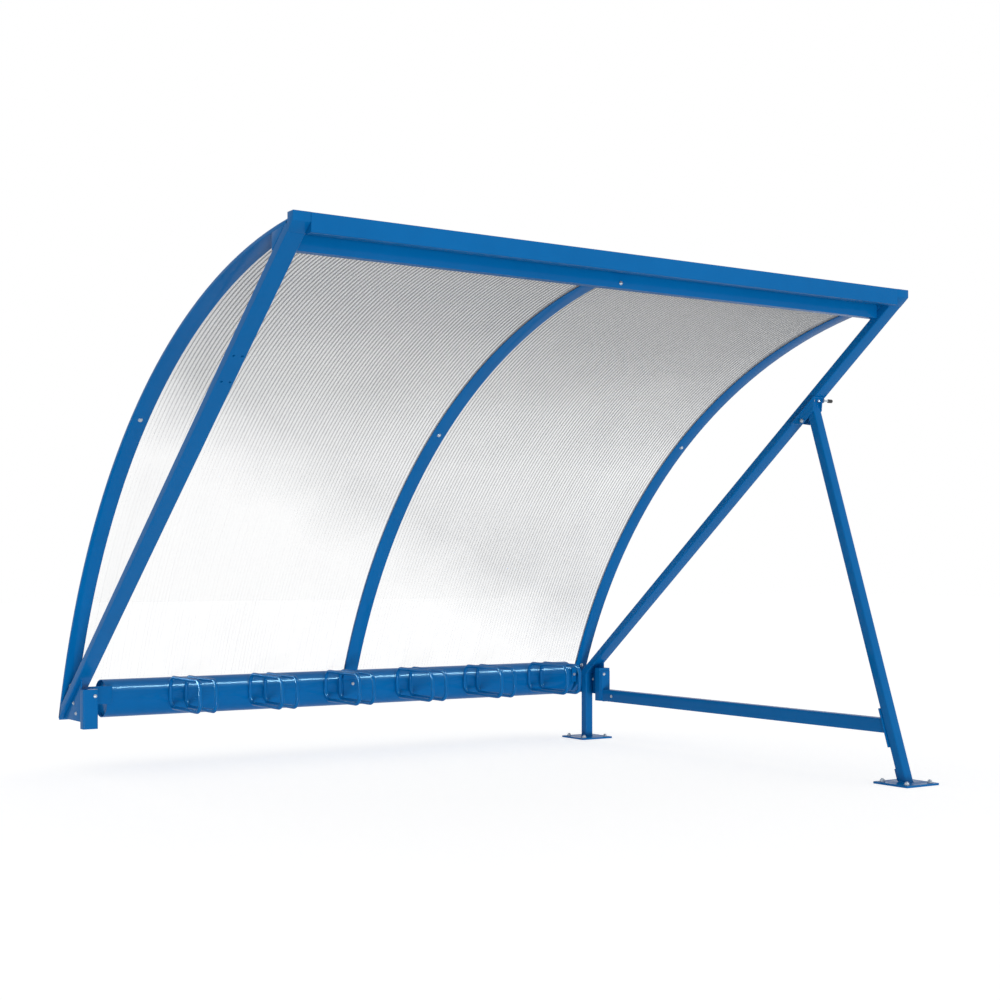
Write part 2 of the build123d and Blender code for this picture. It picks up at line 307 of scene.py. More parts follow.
def make_clear_sheet(name, shaded_tint, clear_alpha, shaded_alpha, gloss):
    """Plastic whose tint and Alpha carry painted shade, clear at the foot and dense at the head,
    with streaks along it.
    """
    material, graph, shader, where = start_material(name)
    stretched = graph.node("ShaderNodeMapping", None,
                           {"Vector": where, "Scale": (140.0, 1.2, 1.2)})
    streaks = graph.noise(stretched, scale=1.0, detail=3.0)
    haze = graph.noise(where, scale=3.0, detail=3.0)
    # Painted shade: the tint darkens and the Alpha thickens towards the head of the roof.
    painted_shade = painted_sheet_shade(graph, where, haze)
    tint = graph.blend(painted_shade, CLEAR_TINT, shaded_tint)
    set_shader(graph, shader, {
        "Base Color": graph.blend(haze * 0.12, tint, HAZE_TINT),
        "Roughness": graph.spread(haze, gloss, gloss + 0.1),
        "Alpha": graph.spread(painted_shade, clear_alpha, shaded_alpha)
        + graph.spread(streaks, -0.04, 0.04),
        "Specular IOR Level": 0.5})
    return material


# Painted shade: the darker tint and higher Alpha at the head, darkest on the inner walls.
sheet_skin = make_clear_sheet("sheet_skin", shaded_tint=(0.47, 0.48, 0.49, 1),
                              clear_alpha=0.06, shaded_alpha=0.36, gloss=0.14)
sheet_wall = make_clear_sheet("sheet_wall", shaded_tint=(0.20, 0.205, 0.21, 1),
                              clear_alpha=0.02, shaded_alpha=0.58, gloss=0.35)
print("sheet materials", sheet_skin.name, sheet_wall.name)

# %% [markdown]
# ## Finished pieces
#
# Every piece is a closed mesh at the origin, shaded smooth with crisp edges past a limit. A
# piece that stands for parts of the frame hides them, and each piece rides on the frame's single
# body.

# %% Turn a mesh into a piece
def put_in_scene(thing):
    bpy.context.scene.collection.objects.link(thing)


def as_piece(name, mesh, material=None, stands_for=(), crease=35.0):
    """A visible piece. Its faces meet in a crisp edge past the crease angle, in degrees."""
    if material:
        mesh.materials.clear()
        mesh.materials.append(material)
    mesh.shade_smooth()
    mesh.set_sharp_from_angle(angle=radians(crease))
    piece = bpy.data.objects.new(name, mesh)
    put_in_scene(piece)
    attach(piece, "root")
    if stands_for:
        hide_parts(*stands_for)
    return piece


def mesh_from(name, shape):
    """A mesh from a bmesh, with its faces turned outwards."""
    bmesh.ops.recalc_face_normals(shape, faces=shape.faces)
    mesh = bpy.data.meshes.new(name)
    shape.to_mesh(mesh)
    shape.free()
    return mesh


# %% [markdown]
# ## Softened plates and arches
#
# Cut plate never has a knife edge: grinding and paint round it off. Plates, brackets and
# arches already have the right outline in the frame, so each is copied, welded back into one
# skin, cleared of needless lines on flat faces, and given a small bevel. Modelling them again
# would only risk moving them.

# %% Copy a piece with softened edges
SAME_POINT = 2e-5
FLAT_ANGLE, SHARP_ANGLE = radians(0.4), radians(30)


def softened(node, width):
    """A copy of a frame piece whose sharp edges have a bevel of a given width."""
    shape = bmesh.new()
    shape.from_mesh(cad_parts[node].data)
    bmesh.ops.remove_doubles(shape, verts=shape.verts, dist=SAME_POINT)
    bmesh.ops.dissolve_limit(shape, angle_limit=FLAT_ANGLE, verts=shape.verts,
                             edges=shape.edges, delimit=set())
    sharp = [e for e in shape.edges if e.is_manifold and e.calc_face_angle(0.0) > SHARP_ANGLE]
    bmesh.ops.bevel(shape, geom=sharp, offset=width, segments=2, profile=0.5,
                    affect="EDGES", clamp_overlap=True, offset_type="OFFSET")
    return as_piece("soft_" + node, mesh_from(node, shape), blue_paint, [node], crease=40.0)


bevels = {
    "beam_end_left": 0.002, "beam_end_right": 0.002,
    "fascia_end_left": 0.0008, "fascia_end_right": 0.0008, "front_foot_plate": 0.0012,
    "rear_foot_plate": 0.0012, "leg_foot_tab": 0.0012, "leg_head_bracket": 0.001,
    "node_web_left": 0.001, "node_web_right": 0.001, "rail_end_plate_left": 0.0006,
    "rail_end_plate_right": 0.0006, "rail_lug_left": 0.0015, "rail_lug_right": 0.0015,
    "tie_plate_front": 0.0012, "tie_plate_rear": 0.0012, "arch_saddle": 0.001,
    "arch_left": 0.0015, "arch_middle": 0.0015, "arch_right": 0.0015,
}
for node, width in bevels.items():
    softened(node, width)
print("softened", len(bevels), "pieces")

# %% [markdown]
# ## Straight tubes
#
# Square steel tube is rolled, so its long edges are round, with a radius near twice the wall.
# That round edge is what catches the light along a strut. Each tube is swept from a rounded
# section along its own line and then cut by planes where it meets its neighbours. The left
# strut has four empty holes where a leg's bracket could go, so drilling comes first.

# %% Drill round holes
def plain_copy(thing):
    """The mesh of an object with its modifiers worked out."""
    bpy.context.view_layer.update()
    return bpy.data.meshes.new_from_object(
        thing.evaluated_get(bpy.context.evaluated_depsgraph_get()))


def drilled(mesh, holes):
    """A mesh with round holes sunk into it, each a place, a way in, a radius and a depth."""
    body = bpy.data.objects.new("body", mesh)
    drills = bmesh.new()
    for place, way, radius, depth in holes:
        turn = UP.rotation_difference(way).to_matrix().to_4x4()
        bmesh.ops.create_cone(drills, cap_ends=True, segments=28, radius1=radius,
                              radius2=radius, depth=2 * depth,
                              matrix=Matrix.Translation(place) @ turn)
    drill = bpy.data.objects.new("drill", mesh_from("drill", drills))
    put_in_scene(body)
    put_in_scene(drill)
    cutter = body.modifiers.new("drill", "BOOLEAN")
    cutter.operation = "DIFFERENCE"
    cutter.object = drill
    result = plain_copy(body)
    bpy.data.objects.remove(body)
    bpy.data.objects.remove(drill)
    return result


# %% Sweep a rounded tube and cut it
PAST_ALL_CUTS = 3.0


def rounded_section(width, depth, corner=TUBE_CORNER, steps=5):
    """Points round a rectangle with round corners."""
    points = []
    for quarter in range(4):
        sx = 1 if quarter in (0, 3) else -1
        sy = 1 if quarter in (0, 1) else -1
        for step in range(steps + 1):
            turn = pi / 2 * (quarter + step / steps)
            points.append((sx * (width / 2 - corner) + corner * cos(turn),
                           sy * (depth / 2 - corner) + corner * sin(turn)))
    return points


def tube(node, section, middle, way, cuts, corner=TUBE_CORNER, holes=()):
    """A tube about a line, kept on the near side of each cut (a point and a way off)."""
    side = RIGHTWARD if abs(way.x) < 0.5 else BACKWARD
    up = way.cross(side)
    rings = []
    shape = bmesh.new()
    for end in (-PAST_ALL_CUTS, PAST_ALL_CUTS):
        rings.append([shape.verts.new(Vector(middle) + way * end + side * a + up * b)
                      for a, b in rounded_section(*section, corner)])
    count = len(rings[0])
    for i in range(count):
        j = (i + 1) % count
        shape.faces.new((rings[0][i], rings[0][j], rings[1][j], rings[1][i]))
    shape.faces.new(rings[0])
    shape.faces.new(rings[1])
    for point, off in cuts:
        cut = bmesh.ops.bisect_plane(shape, geom=shape.verts[:] + shape.edges[:] + shape.faces[:],
                                     plane_co=point, plane_no=off, clear_outer=True)
        rim = [e for e in cut["geom_cut"] if isinstance(e, bmesh.types.BMEdge)]
        bmesh.ops.contextual_create(shape, geom=rim)
    mesh = mesh_from(node, shape)
    if holes:
        mesh = drilled(mesh, holes)
    return as_piece("tube_" + node, mesh, blue_paint, [node], crease=25.0)


# %% Struts of the end frames
ARCH_FOOT_Z = 0.25
HOLE_RADIUS, HOLE_DEPTH = 0.0045, 0.012
HEAD_PLATE_ROWS, HEAD_PLATE_COLUMNS = (-0.0605, 0.0605), (-0.015, 0.015)
beam_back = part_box("front_beam")[1].y


def arch_cut(angle):
    """The plane in the middle of an arch's thickness at an angle."""
    y, z = on_roof(angle, ROOF_RADIUS)
    return Vector((0, y, z)), Vector((0, cos(angle), sin(angle)))


def head_plate_pattern(face, x, middle):
    """The four bolt places of a leg's head plate, about its middle along the strut."""
    places = []
    for along in HEAD_PLATE_ROWS:
        for across in HEAD_PLATE_COLUMNS:
            spot = face + strut_way * (middle + along)
            places.append(Vector((x + across, spot.y, spot.z)))
    return places


strut_cuts = [(Vector((0, beam_back, 0)), FORWARD), arch_cut(roof_angle_at(y=beam_back)),
              arch_cut(roof_angle_at(z=ARCH_FOOT_Z))]
for side in ("left", "right"):
    low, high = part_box("strut_" + side)
    x = (low.x + high.x) / 2
    empty_holes = [(place, -strut_down, HOLE_RADIUS, HOLE_DEPTH)
                   for place in head_plate_pattern(strut_underside, x, EMPTY_HOLES_MIDDLE)]
    tube("strut_" + side, (high.x - low.x, 2 * STRUT_HALF), (x, 0, STRUT_HEIGHT), strut_way,
         strut_cuts, holes=empty_holes if side == "left" else ())
print("struts meet the beam at", round(beam_back, 4))

# %% Beam and fascia
for node in ("front_beam", "front_fascia"):
    low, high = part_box(node)
    tube(node, (high.y - low.y, high.z - low.z), (low + high) / 2, RIGHTWARD,
         [(low, LEFTWARD), (high, RIGHTWARD)], corner=0.004)
print("beam from", round(low.x, 3), "to", round(high.x, 3))

# %% Leg, post, stubs and tie bar
foot_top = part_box("front_foot_plate")[1].z
leg_x = middle_of("front_leg").x
on_foot_plate = (Vector((0, 0, foot_top)), DOWN)
square = (TUBE_SIDE, TUBE_SIDE)
tube("front_leg", square, (leg_x, LEG_FOOT, 0), leg_way,
     [on_foot_plate, (head_plate_face, -strut_down)])
tube("rear_post", square, (leg_x, 0, 0), UP, [on_foot_plate, (strut_underside, -strut_down)])
for side in ("left", "right"):
    low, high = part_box("node_stub_" + side)
    middle = (low + high) / 2
    tube("node_stub_" + side, (high.x - low.x, high.y - low.y), (middle.x, middle.y, 0), UP,
         [(low, DOWN), (high, UP)])
tie_low, tie_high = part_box("tie_bar")
tie_middle = middle_of("tie_bar")
tie_section = (tie_high.x - tie_low.x, tie_high.z - tie_low.z)
tube("tie_bar", tie_section, (tie_middle.x, 0, tie_middle.z), BACKWARD,
     [(Vector((0, tie_high.y, 0)), BACKWARD), (tie_plate_face, -leg_back)])
print("leg leans", LEG_LEAN, "tie bar", round(tie_high.y - tie_low.y, 3))

# %% [markdown]
# ## Rack rail
#
# The rail is a plain steel pipe, closed by a plate a little way in from each end. A smooth
# pipe shows one long sharp highlight, so it is turned with many sides and its two rims are
# slightly rounded. Turning a short profile about the pipe's axis is the whole job.

# %% Turn a profile about the rail
RAIL_RIM, RAIL_WALL, RAIL_SIDES = 0.0008, 0.003, 160


def turned(name, profile, axis_point, sides):
    """A closed ring of (x, radius) points turned about a line along X."""
    shape = bmesh.new()
    rings = []
    for i in range(sides):
        turn = 2 * pi * i / sides
        rings.append([shape.verts.new((x, axis_point.y + radius * cos(turn),
                                       axis_point.z + radius * sin(turn)))
                      for x, radius in profile])
    count = len(profile)
    for i in range(sides):
        ring, following = rings[i], rings[(i + 1) % sides]
        for j in range(count):
            k = (j + 1) % count
            shape.faces.new((ring[j], ring[k], following[k], following[j]))
    return mesh_from(name, shape)


inside = rail_radius - RAIL_WALL
profile = [(rail_low.x + RAIL_RIM, rail_radius), (rail_low.x, rail_radius - RAIL_RIM),
           (rail_low.x, inside + RAIL_RIM), (rail_low.x + RAIL_RIM, inside),
           (rail_high.x - RAIL_RIM, inside), (rail_high.x, inside + RAIL_RIM),
           (rail_high.x, rail_radius - RAIL_RIM), (rail_high.x - RAIL_RIM, rail_radius)]
as_piece("rail_pipe", turned("rail_pipe", profile, rail_middle, RAIL_SIDES), blue_paint,
         ["rack_rail"], crease=25.0)
print("rail pipe", round(rail_high.x - rail_low.x, 3), "long")

# %% [markdown]
# ## Shapes that repeat
#
# Wheel loops, flute walls, bolts and weld ripples all repeat by rule, so Geometry Nodes make
# them. Each tree is built here with named inputs, ends in Realize Instances and Set Material,
# and is turned into a plain mesh at once. Keeping the modifier would cost time on every
# render and would be lost on export.

# %% Build and run a tree
SOCKETS = {"float": "NodeSocketFloat", "int": "NodeSocketInt", "object": "NodeSocketObject"}


class Grower(Graph):
    """A Geometry Nodes tree with named inputs."""

    def __init__(self, name, inputs):
        super().__init__(bpy.data.node_groups.new(name, "GeometryNodeTree"))
        panel = self.tree.interface
        panel.new_socket("Start", in_out="INPUT", socket_type="NodeSocketGeometry")
        for label, kind in inputs.items():
            panel.new_socket(label, in_out="INPUT", socket_type=SOCKETS[kind])
        panel.new_socket("Grown", in_out="OUTPUT", socket_type="NodeSocketGeometry")
        self.given = self.tree.nodes.new("NodeGroupInput")
        self.result = self.tree.nodes.new("NodeGroupOutput")

    def get(self, label):
        return Value(self, self.given.outputs[label])

    def finish(self, geometry, material):
        real = self.node("GeometryNodeRealizeInstances", None, {0: geometry})
        coated = self.node("GeometryNodeSetMaterial", None, {"Geometry": real,
                                                             "Material": material})
        self.fill(self.result.inputs[0], coated)

    def grow(self, name, start, sizes):
        """The plain mesh that the tree makes from a starting mesh."""
        maker = bpy.data.objects.new(name, start)
        put_in_scene(maker)
        modifier = maker.modifiers.new("grow", "NODES")
        modifier.node_group = self.tree
        for item in self.tree.interface.items_tree:
            if item.item_type == "SOCKET" and item.name in sizes:
                modifier[item.identifier] = sizes[item.name]
        plain = plain_copy(maker)
        bpy.data.objects.remove(maker)
        shape = bmesh.new()
        shape.from_mesh(plain)
        bmesh.ops.recalc_face_normals(shape, faces=shape.faces)
        shape.to_mesh(plain)
        shape.free()
        print(name, len(plain.polygons), "faces")
        return plain


def points_mesh(name, places, facings=None):
    """Loose points, each with the way that it faces."""
    mesh = bpy.data.meshes.new(name)
    mesh.from_pydata([tuple(p) for p in places], [], [])
    if facings:
        facing = mesh.attributes.new("facing", "FLOAT_VECTOR", "POINT")
        facing.data.foreach_set("vector", [c for f in facings for c in Vector(f).normalized()])
    return mesh


# %% [markdown]
# ## Wheel holders
#
# A wheel stands between two closed loops of round bar welded to the rail. One loop is a
# rectangle curve with filleted corners and a round section, and one stands on each point of
# a row. The row comes from the frame's six holders.

# %% Bent bar loops
def make_loop_tree():
    grower = Grower("wheel_loops", {"Reach": "float", "Height": "float", "Corner": "float",
                                    "Bar radius": "float", "Bar sides": "int"})
    outline = grower.node("GeometryNodeCurvePrimitiveQuadrilateral", None,
                          {"Width": grower.get("Reach"), "Height": grower.get("Height")})
    bent = grower.node("GeometryNodeFilletCurve", {"mode": "POLY"},
                       {"Curve": outline, "Radius": grower.get("Corner"), "Count": 10})
    section = grower.node("GeometryNodeCurvePrimitiveCircle", None,
                          {"Resolution": grower.get("Bar sides"),
                           "Radius": grower.get("Bar radius")})
    bar = grower.node("GeometryNodeCurveToMesh", None,
                      {"Curve": bent, "Profile Curve": section})
    upright = grower.node("GeometryNodeTransform", None,
                          {"Geometry": bar, "Rotation": (pi / 2, 0, pi / 2)})
    row = grower.node("GeometryNodeInstanceOnPoints", None,
                      {"Points": grower.get("Start"), "Instance": upright})
    grower.finish(row, blue_paint)
    return grower


BAR_RADIUS, LOOP_CORNER = 0.008, 0.037
holders = ["wheel_holder_%d" % number for number in range(1, 7)]
loop_places = []
for holder in holders:
    low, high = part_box(holder)
    middle = (low + high) / 2
    for x in (low.x + BAR_RADIUS, high.x - BAR_RADIUS):
        loop_places.append((x, middle.y, middle.z))
loop_back = high.y - BAR_RADIUS
loops = make_loop_tree().grow("wheel_loops", points_mesh("loop_row", loop_places), {
    "Reach": high.y - low.y - 2 * BAR_RADIUS, "Height": high.z - low.z - 2 * BAR_RADIUS,
    "Corner": LOOP_CORNER, "Bar radius": BAR_RADIUS, "Bar sides": 24})
as_piece("wheel_loops", loops, None, holders)
print("wheel loops", len(loop_places), "first at x", round(loop_places[0][0], 3))

# %% [markdown]
# ## Bending flat parts onto the roof circle
#
# A roof sheet is easiest to describe flat: a long thin slab with upright walls at an even
# pitch. One tree lays out such a row of slabs and then bends it, moving each point to its
# angle on the roof circle. The same tree makes a sheet's outer hull, as a row of one, and its
# inner walls, as a row of many.

# %% The bending tree
def make_bend_tree(material):
    grower = Grower("bent_row_" + material.name, {
        "Count": "int", "Pitch": "float", "First X": "float", "Width": "float",
        "Thickness": "float", "Steps": "int", "Start angle": "float", "End angle": "float"})
    slab = grower.node("GeometryNodeMeshCube", None, {
        "Size": grower.node("ShaderNodeCombineXYZ", None, {
            0: grower.get("Width"), 1: 1.0, 2: grower.get("Thickness")}),
        "Vertices Y": grower.get("Steps")})
    row = grower.node("GeometryNodeMeshLine", None, {
        "Count": grower.get("Count"),
        "Start Location": grower.node("ShaderNodeCombineXYZ", None, {0: grower.get("First X")}),
        "Offset": grower.node("ShaderNodeCombineXYZ", None, {0: grower.get("Pitch")})})
    flat = grower.node("GeometryNodeRealizeInstances", None, {
        0: grower.node("GeometryNodeInstanceOnPoints", None, {"Points": row,
                                                               "Instance": slab})})
    x, y, z = grower.axes(grower.node("GeometryNodeInputPosition"))
    start, end = grower.get("Start angle"), grower.get("End angle")
    angle = start + (y + 0.5) * (end - start)
    reach = z + ROOF_RADIUS
    bent = grower.node("ShaderNodeCombineXYZ", None, {
        0: x,
        1: reach * angle.sum("COSINE", angle) + ROOF_Y,
        2: reach * angle.sum("SINE", angle) + ROOF_Z})
    curved = grower.node("GeometryNodeSetPosition", None, {"Geometry": flat, "Position": bent})
    grower.finish(curved, material)
    return grower


# %% Roof sheets and their inner walls
SHEET_HALF, WALL_INSET = 0.003, 0.0003
FLUTE_PITCH, FLUTE_WALL = 0.015, 0.0008
SHEET_STEPS = 72
sheet_foot = roof_angle_at(z=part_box("roof_sheet_left")[0].z, radius=ROOF_RADIUS + SHEET_HALF)
hull_tree = make_bend_tree(sheet_skin)
wall_tree = make_bend_tree(sheet_wall)
for side in ("left", "right"):
    low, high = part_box("roof_sheet_" + side)
    sheet_head = roof_angle_at(y=low.y, radius=ROOF_RADIUS - SHEET_HALF)
    shared = {"Steps": SHEET_STEPS, "Start angle": sheet_foot, "End angle": sheet_head}
    middle = (low.x + high.x) / 2
    hull = hull_tree.grow("sheet_hull_" + side, points_mesh("none", []), {
        "Count": 1, "Pitch": 1.0, "First X": middle, "Width": high.x - low.x,
        "Thickness": 2 * SHEET_HALF, **shared})
    as_piece("sheet_hull_" + side, hull, None, ["roof_sheet_" + side])
    count = int((high.x - low.x) / FLUTE_PITCH)
    first = middle - FLUTE_PITCH * (count - 1) / 2
    walls = wall_tree.grow("sheet_walls_" + side, points_mesh("none", []), {
        "Count": count, "Pitch": FLUTE_PITCH, "First X": first, "Width": FLUTE_WALL,
        "Thickness": 2 * (SHEET_HALF - WALL_INSET), **shared})
    as_piece("sheet_walls_" + side, walls, None)
print("flutes in a sheet", count)

# %% [markdown]
# ## Bolts
#
# Hexagon heads on washers hold the arches, the plates and the leg's bracket, and the foot
# plates stand on anchor studs with nuts. Each head is turned from a short profile, with six
# sides for the hexagon and a cone that takes its corners off, as a real one is chamfered.

# %% Turn bolt heads, nuts and studs
def spun(shape, profile, sides):
    """A solid of (radius, height) points turned about Z. A radius of 0 closes a pole."""
    turns = [2 * pi * i / sides for i in range(sides)]
    rings = []
    for radius, height in profile:
        if radius == 0:
            rings.append([shape.verts.new((0, 0, height))] * sides)
            continue
        rings.append([shape.verts.new((radius * cos(turn), radius * sin(turn), height))
                      for turn in turns])
    for lower, upper in zip(rings, rings[1:]):
        for i in range(sides):
            j = (i + 1) % sides
            corners = dict.fromkeys((lower[i], lower[j], upper[j], upper[i]))
            shape.faces.new(list(corners))


WASHER_EDGE = 0.0004
HEXAGON_CHAMFER, HEXAGON_TOP = 0.0009, 0.86


def washer(shape, radius, height):
    spun(shape, [(0, 0), (radius - WASHER_EDGE, 0), (radius, WASHER_EDGE),
                 (radius, height - WASHER_EDGE), (radius - WASHER_EDGE, height),
                 (0, height)], 24)


def hexagon(shape, across, bottom, top):
    corner = across / sqrt(3)
    spun(shape, [(0, bottom), (corner, bottom), (corner, top - HEXAGON_CHAMFER),
                 (corner * HEXAGON_TOP, top), (0, top)], 6)


def bolt_head(across):
    """A hexagon head with a low dome on it, over a washer."""
    rise = across * 0.36
    shape = bmesh.new()
    washer(shape, across * 0.72, 0.0016)
    hexagon(shape, across, 0.0014, 0.0014 + rise)
    spun(shape, [(0, 0.0012), (rise, 0.0012), (rise, 0.0016 + rise),
                 (rise * 0.7, 0.0022 + rise), (0, 0.0024 + rise)], 18)
    return mesh_from("bolt_head", shape)


def anchor_nut(across, stud, rise, turns=5):
    """A nut on a washer, with the end of a threaded stud of a given radius standing out."""
    nut_top = 0.0023 + across * 0.42
    shape = bmesh.new()
    washer(shape, across * 0.68, 0.0025)
    hexagon(shape, across, 0.0023, nut_top)
    thread = [(0, 0.001), (stud, 0.001), (stud, nut_top)]
    for step in range(turns):
        height = nut_top + (rise - nut_top - 0.001) * (step + 0.5) / turns
        thread.append((stud - (0.0006 if step % 2 else 0.0), height))
    thread += [(stud - 0.001, rise), (0, rise)]
    spun(shape, thread, 16)
    return mesh_from("anchor_nut", shape)


SMALL_BOLT, LARGE_BOLT, ANCHOR_BOLT = 0.010, 0.012, 0.016
print("bolts", SMALL_BOLT, LARGE_BOLT, ANCHOR_BOLT, "across their flats")

# %% [markdown]
# ## Setting the bolts in place
#
# Every bolt stands on a point and faces away from its surface. A fitter never lines up the
# flats of the hexagons, so each one gets its own seeded turn.

# %% A tree that sets one shape on many points
def make_fastener_tree():
    grower = Grower("fasteners", {"Shape": "object", "Seed": "int"})
    facing = grower.node("GeometryNodeInputNamedAttribute", {"data_type": "FLOAT_VECTOR"},
                         {"Name": "facing"})
    upright = grower.node("FunctionNodeAlignRotationToVector", {"axis": "Z"},
                          {"Vector": facing})
    chance = grower.node("FunctionNodeRandomValue", {"data_type": "FLOAT"},
                         {2: 0.0, 3: 2 * pi, "Seed": grower.get("Seed")}, output=1)
    spin = grower.node("FunctionNodeAxisAngleToRotation", None,
                       {"Axis": (0.0, 0.0, 1.0), "Angle": chance})
    turned_about = grower.node("FunctionNodeRotateRotation", {"rotation_space": "LOCAL"},
                               {"Rotation": upright, "Rotate By": spin})
    shape = grower.node("GeometryNodeObjectInfo", None, {"Object": grower.get("Shape")},
                        output="Geometry")
    row = grower.node("GeometryNodeInstanceOnPoints", None, {
        "Points": grower.get("Start"), "Instance": shape, "Rotation": turned_about})
    grower.finish(row, bright_zinc)
    return grower


fastener_tree = make_fastener_tree()


def fasten(name, mesh, spots, seed):
    """Sets a shape on spots, each a place and the way it faces."""
    pattern = bpy.data.objects.new("pattern", mesh)
    put_in_scene(pattern)
    start = points_mesh(name, *zip(*spots))
    made = fastener_tree.grow(name, start, {"Shape": pattern, "Seed": seed})
    bpy.data.objects.remove(pattern)
    return as_piece(name, made)


# %% Bolts through the arches
def arch_bolt(x, angle):
    """A place on an arch's inner face and the way that a bolt faces there."""
    y, z = on_roof(angle, ROOF_RADIUS - ARCH_HALF)
    return Vector((x, y, z)), Vector((0, -cos(angle), -sin(angle)))


UPPER_BOLT, MIDDLE_BOLT, LOWER_BOLT = radians(82.5), radians(52.3), radians(21.5)
spots = []
for name in ("arch_left", "arch_middle", "arch_right"):
    for angle in (UPPER_BOLT, MIDDLE_BOLT):
        spots.append(arch_bolt(middle_of(name).x, angle))
for name in ("arch_left", "arch_right"):
    spots.append(arch_bolt(middle_of(name).x, LOWER_BOLT))
fasten("arch_bolts", bolt_head(LARGE_BOLT), spots, 3)
print("arch bolts", len(spots))

# %% Bolts that face the front: fascia, stub, lug, saddle and tie plate
SIDE_INSET = 0.012
FASCIA_BOLT_UP, LUG_BOLT_UP, STUB_BOLT_DOWN = 0.0175, 0.0365, 0.026
SADDLE_THICKNESS, SADDLE_BOLT_ASIDE, SADDLE_BOLT_TURN = 0.005, 0.014, radians(15)
TIE_PLATE_BOLT_ASIDE, TIE_PLATE_BOLT_DOWN = 0.010, 0.015
fascia_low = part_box("front_fascia")[0]
left_lug_low, left_lug_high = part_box("rail_lug_left")
right_lug_low, right_lug_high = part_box("rail_lug_right")
stub_low, stub_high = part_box("node_stub_left")
saddle_low, saddle_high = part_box("arch_saddle")
tie_plate_low, tie_plate_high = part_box("tie_plate_rear")
saddle_way = Vector((0, -cos(SADDLE_BOLT_TURN), sin(SADDLE_BOLT_TURN)))
saddle_axis = Vector((middle_of("arch_saddle").x + SADDLE_BOLT_ASIDE, rail_middle.y,
                      rail_middle.z))
front_spots = [
    (Vector((middle_of("front_fascia").x, fascia_low.y, fascia_low.z + FASCIA_BOLT_UP)),
     FORWARD),
    (Vector((stub_high.x - SIDE_INSET, stub_low.y, stub_high.z - STUB_BOLT_DOWN)), FORWARD),
    (Vector((right_lug_high.x - SIDE_INSET, right_lug_low.y, right_lug_low.z + LUG_BOLT_UP)),
     FORWARD),
    (saddle_axis + saddle_way * (rail_radius + SADDLE_THICKNESS), saddle_way),
]
tie_plate_spot = (Vector((middle_of("tie_plate_rear").x - TIE_PLATE_BOLT_ASIDE,
                          tie_plate_low.y, tie_plate_high.z - TIE_PLATE_BOLT_DOWN)), FORWARD)
print("bolts to the front", len(front_spots) + 1)

# %% Bolts that face the left: webs and tie bar
WEB_BOLTS = ((0.082, 0.069), (0.054, 0.030))
TIE_BOLT_IN, TIE_BOLT_UP = 0.072, 0.0265
left_spots = []
for side in ("left", "right"):
    web_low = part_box("node_web_" + side)[0]
    for behind, above in WEB_BOLTS:
        left_spots.append((web_low + Vector((0, behind, above)), LEFTWARD))
left_spots.append((Vector((tie_low.x, tie_high.y - TIE_BOLT_IN, tie_low.z + TIE_BOLT_UP)),
                   LEFTWARD))
spots = front_spots + left_spots + [tie_plate_spot]
fasten("small_bolts", bolt_head(SMALL_BOLT), spots, 5)
print("small bolts", len(spots))

# %% Bolts of the leg's head bracket
CHEEK_FACE = 0.024
CHEEK_BOLT, CROSS_BOLT = (-0.0315, 0.0276), (0.071, 0.007)


def on_bracket(x, along, below):
    """A place on the bracket, along the strut from the plate's middle and below its face."""
    spot = head_plate_face + strut_way * (HEAD_PLATE_MIDDLE + along) + strut_down * below
    return Vector((x, spot.y, spot.z))


spots = [(place, strut_down)
         for place in head_plate_pattern(head_plate_face, leg_x, HEAD_PLATE_MIDDLE)]
spots.append((on_bracket(leg_x - CHEEK_FACE, *CHEEK_BOLT), LEFTWARD))
fasten("bracket_bolts", bolt_head(LARGE_BOLT), spots, 7)
print("bracket bolts", len(spots))

# %% Cross bolt that stands out of the bracket's outer cheek
CROSS_BOLT_END, CAP_START, CAP_END = 0.042, 0.030, 0.0522
cross_place = on_bracket(leg_x + CHEEK_FACE, *CROSS_BOLT)
sideways = (Matrix.Translation(cross_place)
            @ UP.rotation_difference(RIGHTWARD).to_matrix().to_4x4())


def on_cheek(name, material, build):
    """A turned shape laid sideways on the cheek."""
    shape = bmesh.new()
    build(shape)
    bmesh.ops.transform(shape, verts=shape.verts, matrix=sideways)
    return as_piece(name, mesh_from(name, shape), material)


def cross_bolt(shape):
    washer(shape, 0.010, 0.0018)
    hexagon(shape, 0.013, 0.0016, 0.0080)
    spun(shape, [(0, 0.002), (0.004, 0.002), (0.004, CROSS_BOLT_END), (0, CROSS_BOLT_END)], 16)


def cross_bolt_cap(shape):
    spun(shape, [(0, CAP_START), (0.0068, CAP_START), (0.0074, CAP_START + 0.0008),
                 (0.0074, 0.0480), (0.0062, 0.0505), (0.0035, 0.0518), (0, CAP_END)], 20)


on_cheek("cross_bolt", bright_zinc, cross_bolt)
on_cheek("cross_bolt_cap", black_plastic, cross_bolt_cap)
print("cross bolt reaches x", round(leg_x + CHEEK_FACE + CAP_END, 4))

# %% Anchor nuts on the foot plates
ANCHOR_REACH = 0.062
spots = []
for name in ("front_foot_plate", "rear_foot_plate"):
    middle = middle_of(name)
    for x in (-ANCHOR_REACH, ANCHOR_REACH):
        for y in (-ANCHOR_REACH, ANCHOR_REACH):
            spots.append((Vector((middle.x + x, middle.y + y, foot_top)), UP))
fasten("anchor_nuts", anchor_nut(ANCHOR_BOLT, stud=0.0055, rise=0.0125), spots, 11)
print("anchor nuts", len(spots))

# %% [markdown]
# ## Weld beads
#
# Wherever steel meets steel, a welder leaves a row of overlapping ripples, which paint softens
# but doesn't hide. A path of points is made a curve, divided evenly, and given a small ball at
# each step. Small seeded changes of size keep the ripples from looking machined.

